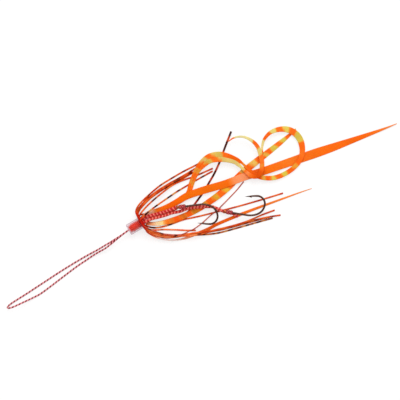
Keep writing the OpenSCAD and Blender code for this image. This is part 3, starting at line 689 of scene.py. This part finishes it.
def strip(name, path, section_at, material, number, paint):
    """A flat strip along a path; section_at(row) gives its (across, up) points and its roll."""
    side, up = frames(path)
    along = lengths(path)
    rings, uvs = [], []
    for i, row in enumerate(path):
        section, roll = section_at(row)
        c, s = math.cos(math.radians(roll)), math.sin(math.radians(roll))
        rings.append(ring(row[:3], section @ np.array([(c, s), (-s, c)]), side[i], up[i]))
        width = 2 * np.abs(section[:, 0]).max()
        across = np.append(section[:, 0], section[0, 0]) / width * 0.98 + 0.5
        uvs.append(np.column_stack([number + across, np.full(len(across), along[i])]))
    return skin(name, np.array(rings), np.array(uvs), material, paint)


# ---------- Leader loop ----------

def leg(side):
    """One leg of the stem: above or below in the core, beside the other at its end."""
    front = CORE_RECESS - SEAT_GAP / 2
    points = []
    for t in np.linspace(0, 1, 9):
        turn = math.radians(90 * (1 - t ** 3))
        points.append((front - t * (front + STEM_LEN), STEM_DRIFT * t + side * LEG_OUT * math.cos(turn),
                       side * LEG_OUT * math.sin(turn)))
    return points


def loop_radius(angles, distance):
    """The radius of the loop's cord, which has twisted plies."""
    turned = angles + 2 * math.pi * distance / (CORD_PITCH * 2)
    ply = np.abs(np.cos(turned * LOOP_PLIES / 2))
    return LOOP_D / 2 * (1 - LOOP_PLY_DEPTH + LOOP_PLY_DEPTH * ply)


loop_route = [(x, y, FLOOR_Z + clear + LOOP_D / 2) for x, y, clear in LOOP_ROUTE]
loop_path = curve(leg(1) + loop_route + leg(-1)[::-1], LOOP_STEP)
leader_loop = tube("leader_loop", loop_path, loop_radius, "pink_cord", 1, 14)
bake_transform(leader_loop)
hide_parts("loop_stem", "loop_cord")

# ---------- Hook lines ----------

def hook_pivot(spade, turn, z, past=0.0):
    """The place where a line's end turns with its hook, or one farther on inside the whipping."""
    angle = math.radians(turn)
    reach = PIVOT_IN + past
    return (RIM_X + spade[0] + reach * math.cos(angle), spade[1] + reach * math.sin(angle), z)


def braid(crest, diameter):
    """The radius of a braid whose bands lead at one share of the way round."""
    def radius_at(angles, distance):
        beside = np.abs((angles / (2 * math.pi) - crest + 0.5) % 1 - 0.5)
        phase = distance / BRAID_PITCH + BRAID_SLANT * (0.5 - beside)
        return diameter / 2 * (1 - BRAID_DEPTH + BRAID_DEPTH * np.abs(np.sin(math.pi * phase)))
    return radius_at


def hook_line(name, body, side, joined, z, spade, turn, route, material, crest):
    """A line beside the other one for its joined points, then by its own route to its hook."""
    start = CORE_BACK + SEAT_GAP
    points = []
    # the height rises evenly from the second joined point to the seventh
    for i, (x, y) in enumerate(PAIR_ROUTE[:joined]):
        points.append((max(RIM_X + x, start), y + side * PAIR_GAP, z * max(i - 1, 0) / 5))
    points[0] = (start - LINE_IN_CORE, points[0][1] * 0.75, 0)
    points += [(RIM_X + x, y, z) for x, y in route]
    pivot = hook_pivot(spade, turn, z)
    path = curve(points + [pivot, hook_pivot(spade, turn, z, LINE_IN_WHIP)], LINE_STEP)
    piece = tube(name, path, braid(crest, LINE_D), material, 3 + side, 20)
    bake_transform(piece)
    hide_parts(body + "_line")
    return piece, path


hook_line("short_line", "short_hook", 1, len(PAIR_ROUTE) - 1, SHORT_LINE_Z, SHORT_SPADE, SHORT_TURN,
    [], "red_cord", SHORT_LINE_CREST)
long_line, long_path = hook_line("long_line", "long_hook", -1, len(PAIR_ROUTE), LONG_LINE_Z,
    LONG_SPADE, LONG_TURN, LONG_LINE_ROUTE, "salmon_cord", LONG_LINE_CREST)

# ---------- Hooks and whippings ----------

def hook_centreline():
    """The hook's points in its own frame, with its spade's front at the origin.

    Also gives the place where its last bend ends, and its direction there."""
    rows = [(x, 0, 0) for x in np.linspace(0, SHANK_LEN, 60)]
    direction = 0.0
    for radius, angle in HOOK_BENDS:
        x, y = rows[-1][:2]
        centre_x, centre_y = x - radius * math.sin(direction), y + radius * math.cos(direction)
        steps = int(angle / 3) + 1
        for k in range(1, steps + 1):
            turned = direction + math.radians(angle) * k / steps
            rows.append((centre_x + radius * math.sin(turned), centre_y - radius * math.cos(turned), 0))
        direction += math.radians(angle)
    x, y = leg_end = rows[-1][:2]
    for step in np.linspace(0, POINT_LEN, 17)[1:]:
        rows.append((x + math.cos(direction) * step, y + math.sin(direction) * step, 0))
    return np.array(rows), leg_end, direction


def wire_size(along, left):
    """Half the wire's width and thickness, by its distances from the spade's front and the point."""
    half_width = half_thickness = WIRE_D / 2
    if along < SPADE_LEN:
        wider = np.interp(along, [0, 0.12, 0.3, 0.55, 0.9, SPADE_LEN], [0.55, 0.86, 1, 0.98, 0.45, 0])
        half_width += (SPADE_W - WIRE_D) / 2 * wider
        half_thickness = np.interp(along, [0, 0.4, 0.9, SPADE_LEN],
            [SPADE_T / 2 * 0.7, SPADE_T / 2, SPADE_T / 2 * 1.3, WIRE_D / 2])
    if left < TAPER_LEN:
        half_width *= np.interp(left, [0, 0.5, 1.3, 2.4, TAPER_LEN], [0.04, 0.24, 0.5, 0.74, 1])
        half_thickness = half_width
    return half_width, half_thickness


def hook_wire(name, rows, flip):
    """The hook from its flat spade to its tapered point; flip is -1 where it is mirrored."""
    side, up = frames(rows)
    along = lengths(rows)
    sides = 20
    rings = []
    # a mirrored ring runs backwards, so that its faces still look outwards
    for i, centre in enumerate(rows):
        section = disc(*wire_size(along[i], along[-1] - along[i]), sides)
        rings.append(ring(centre, section, side[i], up[i])[::flip] * (1, flip, 1))
    return skin(name, np.array(rings), round_uvs(along, sides, 0), "hook_steel")


def hook_barb(name, leg_end, direction, flip):
    """A sliver raised off the inner side of the leg, its tip leaning back to the bend."""
    c, s = math.cos(direction), math.sin(direction)
    outline = [(0.7, WIRE_D * 0.3, 0.12), (-0.35, WIRE_D * 0.3, 0.16),
               (-0.42, WIRE_D / 2 + BARB_OUT * 0.9, 0.03)]  # ahead, inwards, half thickness
    corners = []
    for z_side in (-1, 1):
        for ahead, inwards, half in outline:
            x = leg_end[0] + ahead * c - inwards * s
            y = leg_end[1] + ahead * s + inwards * c
            corners.append((x * MM, y * flip * MM, z_side * half * MM))
    faces = [(0, 1, 2), (5, 4, 3), (0, 3, 4, 1), (1, 4, 5, 2), (2, 5, 3, 0)]
    mesh = bpy.data.meshes.new(name)
    mesh.from_pydata(corners, [], [face[::flip] for face in faces])
    return add_piece(name, mesh, "hook_steel")


def whipping(name):
    """Thread wound close, each turn a low ridge, over the shank and the line's end."""
    sides = 40
    along = np.arange(0, WHIP_LEN + 0.001, THREAD_PITCH / 8)
    ends = np.interp(along, [0, 0.25, 0.5, WHIP_LEN - 0.6, WHIP_LEN - 0.25, WHIP_LEN],
        [0.62, 0.9, 1, 1, 0.86, 0.5])
    angles = turns(sides)
    rings = np.empty((len(along), sides, 3))
    for i, distance in enumerate(along):
        crossing = 2 * math.pi * distance / THREAD_CROSS
        ridge = np.cos(2 * math.pi * distance / THREAD_PITCH + angles)
        cross = np.maximum(np.cos(4 * angles + crossing), np.cos(4 * angles - crossing))
        radius = WHIP_D / 2 * ends[i] + THREAD_RIDGE * (ridge + cross - 2)
        rings[i, :, 0] = WHIP_IN + distance
        rings[i, :, 1] = radius * 0.94 * np.cos(angles)
        rings[i, :, 2] = radius * np.sin(angles) - WHIP_DROP
    return skin(name, rings, round_uvs(along, sides, 5), "red_thread")


for body, spade, turn, z, flip in (
        ("short_hook", SHORT_SPADE, SHORT_TURN, SHORT_SHANK_Z, -1),
        ("long_hook", LONG_SPADE, LONG_TURN, LONG_SHANK_Z, 1)):
    rows, leg_end, direction = hook_centreline()
    wire = hook_wire(body + "_wire", rows, flip)
    barb = hook_barb(body + "_wire_barb", leg_end, direction, flip)
    thread = whipping(body + "_thread")
    pieces = [wire, barb, thread]
    if body == "long_hook":
        tag_path = curve(TAG_ROUTE, LINE_STEP)
        pieces.append(tube("long_hook_tag", tag_path, braid(0.25, TAG_D), "salmon_cord", 6, 16))
    place = Matrix.Translation(((RIM_X + spade[0]) * MM, spade[1] * MM, z * MM))
    place @= Matrix.Rotation(math.radians(turn), 4, "Z")
    for piece in pieces:
        piece.data.transform(place)
        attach(piece, body)
    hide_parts(body)
    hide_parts(body + "_whipping")

# ---------- Ties ----------

def tie_rows(route):
    """Rows of x, y, z, width and roll at their real places."""
    rows = []
    for x, y, clear, width, roll in route:
        turn = math.radians(roll)
        height = TIE_T * abs(math.cos(turn)) + width * abs(math.sin(turn))
        rows.append((RIM_X + x, y, FLOOR_Z + clear + height / 2, width, roll))
    return rows


def tie_section(row):
    width, roll = row[3:]
    return rounded(width, min(TIE_T, max(width, 0.2)), 4), roll


def tie(name, route, material, number, paint, *nodes):
    """A tie that stands in for CAD nodes, or for part of one that another piece replaces."""
    piece = strip(name, curve(tie_rows(route), TIE_STEP), tie_section, material, number, paint)
    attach(piece, "collar")
    if nodes:
        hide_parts(*nodes)


# The long tie's pale root, 2.5 to 6 mm, is a painted highlight where it twists flat, lightened against
# the shade of the lines above it
LONG_STOPS = [
    (0, (214, 92, 50)), (2.5, (255, 190, 160)), (4.5, (255, 208, 180)), (5.8, (252, 160, 100)),
    (7.2, (252, 116, 12)), (14, (254, 104, 2)), (22, (248, 112, 4)), (37.5, (250, 110, 10)),
    (40, (254, 144, 84)), (43, (255, 156, 106)), (45.5, (252, 146, 92)), (48.5, (248, 116, 26)),
    (51, (236, 96, 12)), (54, (252, 112, 10)), (64, (250, 122, 32)), (78, (254, 110, 16)),
    (95, (254, 106, 12)), (101, (250, 120, 32)), (109, (248, 146, 76))]
# The short tie's near-white stretch, 6 to 18 mm, is a painted highlight where it stands on edge and
# bends, raised against the shade on its edge
SHORT_STOPS = [
    (0, (206, 62, 20)), (4, (236, 110, 60)), (6, (252, 180, 152)), (8, (255, 236, 228)),
    (13, (255, 232, 222)), (15.5, (255, 206, 184)), (18, (252, 164, 122)), (22, (250, 138, 74)),
    (26, (250, 116, 38)), (31, (246, 98, 10)), (38, (250, 106, 12)), (44, (250, 116, 22)),
    (50, (252, 122, 28)), (56, (252, 130, 38)), (72, (248, 144, 56))]
STRAIGHT_YELLOW = [
    (9.7, 11.4, 0.9), (14.6, 16.8, 0.9), (19.6, 21.8), (24.8, 26.6), (29.8, 31.8), (34.7, 36.8),
    (39.8, 41.8), (44.8, 46.8), (49.9, 52.4), (56.2, 57.7), (59.8, 62.6), (65, 67.6), (71.4, 74)]
RING_YELLOW = [
    (25.2, 26.8, 0.8), (30, 31.8, 0.8), (35, 37.4), (40.2, 44.1), (53, 54.6, 0.7), (62.6, 64.2),
    (66.6, 68.4), (71.2, 73.6), (76.8, 78.5, 0.8), (88.3, 92.2), (95.3, 97.7), (100.6, 103.1),
    (107, 111.5)]
ARC_YELLOW = [
    (25.2, 27, 0.8), (30.6, 32.4, 0.8), (36, 38.6), (41.8, 53), (63.4, 64.6, 0.8), (68.4, 71.4),
    (74.8, 82.8)]

# The straight banded tie's pale cream root, 2 to 9 mm, is a painted highlight where it turns flat and
# faces up
STRAIGHT_ENDS = [
    (0, (214, 92, 50), 1), (2.4, (250, 176, 120), 1), (4.5, (255, 226, 176), 1),
    (6.8, (255, 232, 150), 1), (8.6, (252, 150, 50), 0.5), (12, (248, 74, 14), 0.2),
    (19, (244, 80, 8), 0.2), (24, (240, 90, 14), 0)]
CURLY_SLANT = [(28, 0.5), (34, 1.5), (44, 1.5), (50, 0.5)]
CURLY_ROOT = [
    (0, (206, 70, 40), 1), (4, (240, 120, 70), 1), (9, (248, 112, 16), 1), (22, (246, 110, 12), 1),
    (24, (246, 110, 16), 0)]
RING_SHADE = [
    (46, (244, 98, 6), 0), (48, (240, 98, 4), 0.8), (51, (232, 92, 4), 0.8), (54, (236, 96, 8), 0.3),
    (59, (226, 88, 4), 0.6), (62, (222, 90, 8), 0.6), (64, (240, 100, 10), 0)]
ARC_SHADE = [
    (53.5, (250, 150, 96), 0), (54.5, (250, 150, 96), 0.8), (57, (240, 104, 20), 0.7),
    (59, (214, 76, 0), 0.85), (61.5, (226, 84, 4), 0.85), (63, (244, 110, 30), 0.4),
    (66, (248, 130, 56), 0.5), (69, (248, 140, 70), 0)]


def half_of(route, side):
    """The left or right half of a tie's route, as a route of its own."""
    rows = []
    ahead = headings([row[:2] for row in route])
    for (x, y, clear, width, roll), (ahead_x, ahead_y) in zip(route, ahead):
        shift = side * (width / 4 - HALF_OVERLAP / 2) * math.cos(math.radians(roll))
        rows.append((x - ahead_y * shift, y + ahead_x * shift, clear, width / 2 + HALF_OVERLAP, roll))
    return rows


tie("long_tie", PLAIN_LONG, "orange_tie", 20, tie_paint(LONG_STOPS, 1), "plain_tie_long")
tie("short_tie", PLAIN_SHORT, "orange_tie", 21, tie_paint(SHORT_STOPS, 2), "plain_tie_short")
tie("straight_banded_tie", BANDED, "banded_tie", 22,
    banded_paint(STRAIGHT_YELLOW, 3, [(0, 0.7)], STRAIGHT_GOLD, STRAIGHT_ENDS), "banded_tie")
tie("curly_tie_ring", half_of(CURLY, 1) + RING, "banded_tie", 23,
    banded_paint(RING_YELLOW, 4, CURLY_SLANT, RING_GOLD, CURLY_ROOT + RING_SHADE), "curly_tie")
tie("curly_tie_arc", half_of(CURLY, -1) + ARC, "banded_tie", 24,
    banded_paint(ARC_YELLOW, 4, CURLY_SLANT, ARC_GOLD, CURLY_ROOT + ARC_SHADE))

# ---------- Skirt strands ----------

BROWN_RED = ((214, 92, 52), (176, 54, 34))
THIN_RED = ((206, 106, 88), (182, 76, 62))
OLIVE_RED = ((202, 104, 40), (150, 58, 12))
UPPER_BODY = ((234, 104, 36), (198, 54, 8))
# Painted light: the lower fan's near colours are lighter than the upper fan's, to make up for the shade
# it lies in under the ties
LOWER_LIT_BODIES = [((254, 124, 50), (226, 78, 12)), ((254, 148, 92), (244, 102, 38))]
FIRST_LOWER, OLIVE_STRAND = 10, 13  # by number

# Each strand's dark marks (start, end, strength), then its gold ones, in mm
MARKS = [
    ([(10.5, 11.6, 0.5), (16.4, 17.6, 0.5), (21.8, 23.4, 0.45), (27.6, 28.6, 0.5), (33, 36, 0.4)],
     [(18, 19.2, 0.6), (24, 25, 0.6)]),
    ([(2.6, 5.4, 0.3), (9.6, 10.6, 0.3), (23.4, 25.4, 0.6), (29.6, 30.8, 0.7), (32.6, 34, 0.5)],
     [(26, 27, 0.3)]),
    ([(2.8, 5, 0.3), (16.6, 17.6, 0.3), (20.6, 23.6, 0.55), (28.6, 29.6, 0.5)], [(30.4, 32, 0.7)]),
    ([(2.6, 3.8, 0.3), (17.6, 18.6, 0.4), (21.6, 24.6, 0.6), (28.6, 30, 0.6)], []),
    ([(1.6, 2.8, 0.4), (9.6, 12, 0.7), (32.6, 33.6, 0.3)], [(12.2, 13, 0.6), (17, 20, 0.3)]),
    ([(3.5, 5.6), (8.6, 10.2), (15.4, 17.7), (20.6, 21.6, 0.9), (31.4, 33, 0.8)],
     [(5.8, 7.6), (10.4, 11.4, 0.8), (14, 15.4, 0.8), (17.9, 19.8), (21.8, 22.8, 0.8),
      (33.2, 34, 0.6)]),
    ([], []),
    ([(4, 6, 0.6)], []),
    ([(5, 22, 0.2), (26.6, 29.2, 0.9), (34.4, 35.6, 0.9), (37.8, 40.6, 0.95), (43.6, 44.6, 0.9),
      (49.4, 53.4, 0.9), (55.6, 57.8, 0.95)], []),
    ([(3.6, 5.8, 0.9), (11, 12.8, 0.9)], [(5.9, 8, 0.8), (9.6, 11, 0.7), (13, 15, 0.5)]),
    ([(7.6, 8.6, 0.4)], [(3, 4.4, 0.7)]),
    ([(7.5, 8.6, 0.8), (11.6, 12.8, 0.5)], [(8.8, 9.6, 0.4)]),
    ([(7.8, 8.8, 0.5), (14, 14.8, 0.5), (22.6, 23.6, 0.4), (24.6, 25.6, 0.8), (28.7, 29.5, 0.5),
      (30.7, 31.8, 0.8), (35.2, 36.8, 0.7), (39.8, 40.4, 0.4), (42.6, 43.8), (44.8, 45.4, 0.5),
      (46.8, 48.6, 0.9), (51.8, 54, 0.3)],
     [(20, 22.4, 0.4), (26, 27.2, 0.5), (29.8, 30.6, 0.6), (33.4, 35, 0.9), (37, 38, 0.7),
      (41, 42.4, 0.9), (45.6, 46.6, 0.8), (49, 50.6, 0.7)]),
    ([(7.6, 8.6, 0.5), (12, 12.6, 0.3), (13.6, 14.6, 0.6), (48, 49, 0.3), (50, 52, 0.3)], []),
    ([(13.6, 14.6, 0.6), (23, 24.6, 0.5), (31.6, 32.4, 0.5), (36.6, 37.8, 0.6), (42.6, 43.8, 0.7),
      (46.6, 48.4, 0.6), (53, 55, 0.3)],
     [(22, 23, 0.4), (34.4, 36.4, 0.5), (41, 42.4, 0.6), (44.8, 46.4, 0.6)]),
    ([(8.6, 9.4, 0.4), (13.6, 14.4, 0.5)], []),
    ([(3.2, 4.4, 0.6), (8.4, 9.6, 0.8), (14.4, 15.6, 0.8), (20.8, 22.2, 0.3)], [])]


def strand_bodies(number, share, colour):
    """A strand's pairs of body colours, near the collar and farther out."""
    if colour == "dark":
        body = THIN_RED if share < 1 else BROWN_RED
        return body, body
    # lower strands take the lighter near colours, painted against their shade
    near = UPPER_BODY if number < FIRST_LOWER else LOWER_LIT_BODIES[number % 2]
    return near, OLIVE_RED if number == OLIVE_STRAND else UPPER_BODY


for number, ((angle, share, colour, route), marks) in enumerate(zip(STRANDS, MARKS), 1):
    turn = math.radians(angle)
    points = [(RIM_X + x, radius * math.cos(turn), radius * math.sin(turn))
              for x, radius in ((-0.1, ROOT_R - STRAND_SINK), (0, ROOT_R))]
    points += [(RIM_X + x, y, FLOOR_Z + clear + STRAND_T / 2) for x, y, clear in route]
    section = rounded(STRAND_W * share, STRAND_T, 3)
    piece = strip(f"strand_{number}", curve(points, STRAND_STEP), lambda row, s=section: (s, 0),
        "skirt_" + colour, 29 + number,
        strand_paint(number, *marks, *strand_bodies(number, share, colour)))
    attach(piece, "collar")
    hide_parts(f"skirt_strand_{number}")

# ---------- CAD nodes that stay ----------

for node, material in (("clear_sleeve", "clear_silicone"), ("core_tube", "core_red"),
                       ("skirt_collar", "skirt_red"), ("core_cords", "pink_cord")):
    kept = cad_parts[node].data.materials
    kept.clear()
    kept.append(MATERIALS[material])

# ---------- Floor and light ----------

FLOOR_HALF = 1.5  # in metres
FLOOR_DROP = 0.02  # in mm, below the lowest piece
FLOOR_GLOW, WORLD_GLOW = 0.72, 0.68
SUN_POWER, SUN_SPREAD, SUN_TURN_X, SUN_TURN_Y = 1.4, 35, -24, 20  # angles in degrees

floor_mesh = bpy.data.meshes.new("floor")
corners = [(x * FLOOR_HALF, y * FLOOR_HALF, 0) for x, y in ((-1, -1), (1, -1), (1, 1), (-1, 1))]
floor_mesh.from_pydata(corners, [], [(0, 1, 2, 3)])
floor = bpy.data.objects.new("floor", floor_mesh)
floor.location = (0, 0, (FLOOR_Z - FLOOR_DROP) * MM)
bpy.context.scene.collection.objects.link(floor)
# It glows only where it is seen, even mirrored or through a clear piece
n = Nodes("floor")
rays = n.add("ShaderNodeLightPath")
seen = n.math("MAXIMUM", rays.outputs["Is Camera Ray"], rays.outputs["Is Glossy Ray"])
seen = n.math("MAXIMUM", seen, rays.outputs["Is Transmission Ray"])
n.set(Base_Color=n.mix(seen, (0.8, 0.8, 0.8, 1), (0.3, 0.3, 0.3, 1)), Roughness=0.9)
n.set(Emission_Color=WHITE, Emission_Strength=n.math("MULTIPLY", seen, FLOOR_GLOW))
floor_mesh.materials.append(n.material)

world = bpy.data.worlds.new("world")
world.use_nodes = True
world.node_tree.nodes["Background"].inputs[0].default_value = WHITE
world.node_tree.nodes["Background"].inputs[1].default_value = WORLD_GLOW
bpy.context.scene.world = world

sun = bpy.data.lights.new("sun", "SUN")
sun.energy = SUN_POWER
sun.angle = math.radians(SUN_SPREAD)
sun_object = bpy.data.objects.new("sun", sun)
sun_object.rotation_euler = (math.radians(SUN_TURN_X), math.radians(SUN_TURN_Y), 0)
bpy.context.scene.collection.objects.link(sun_object)

bpy.context.scene.view_settings.view_transform = "Standard"
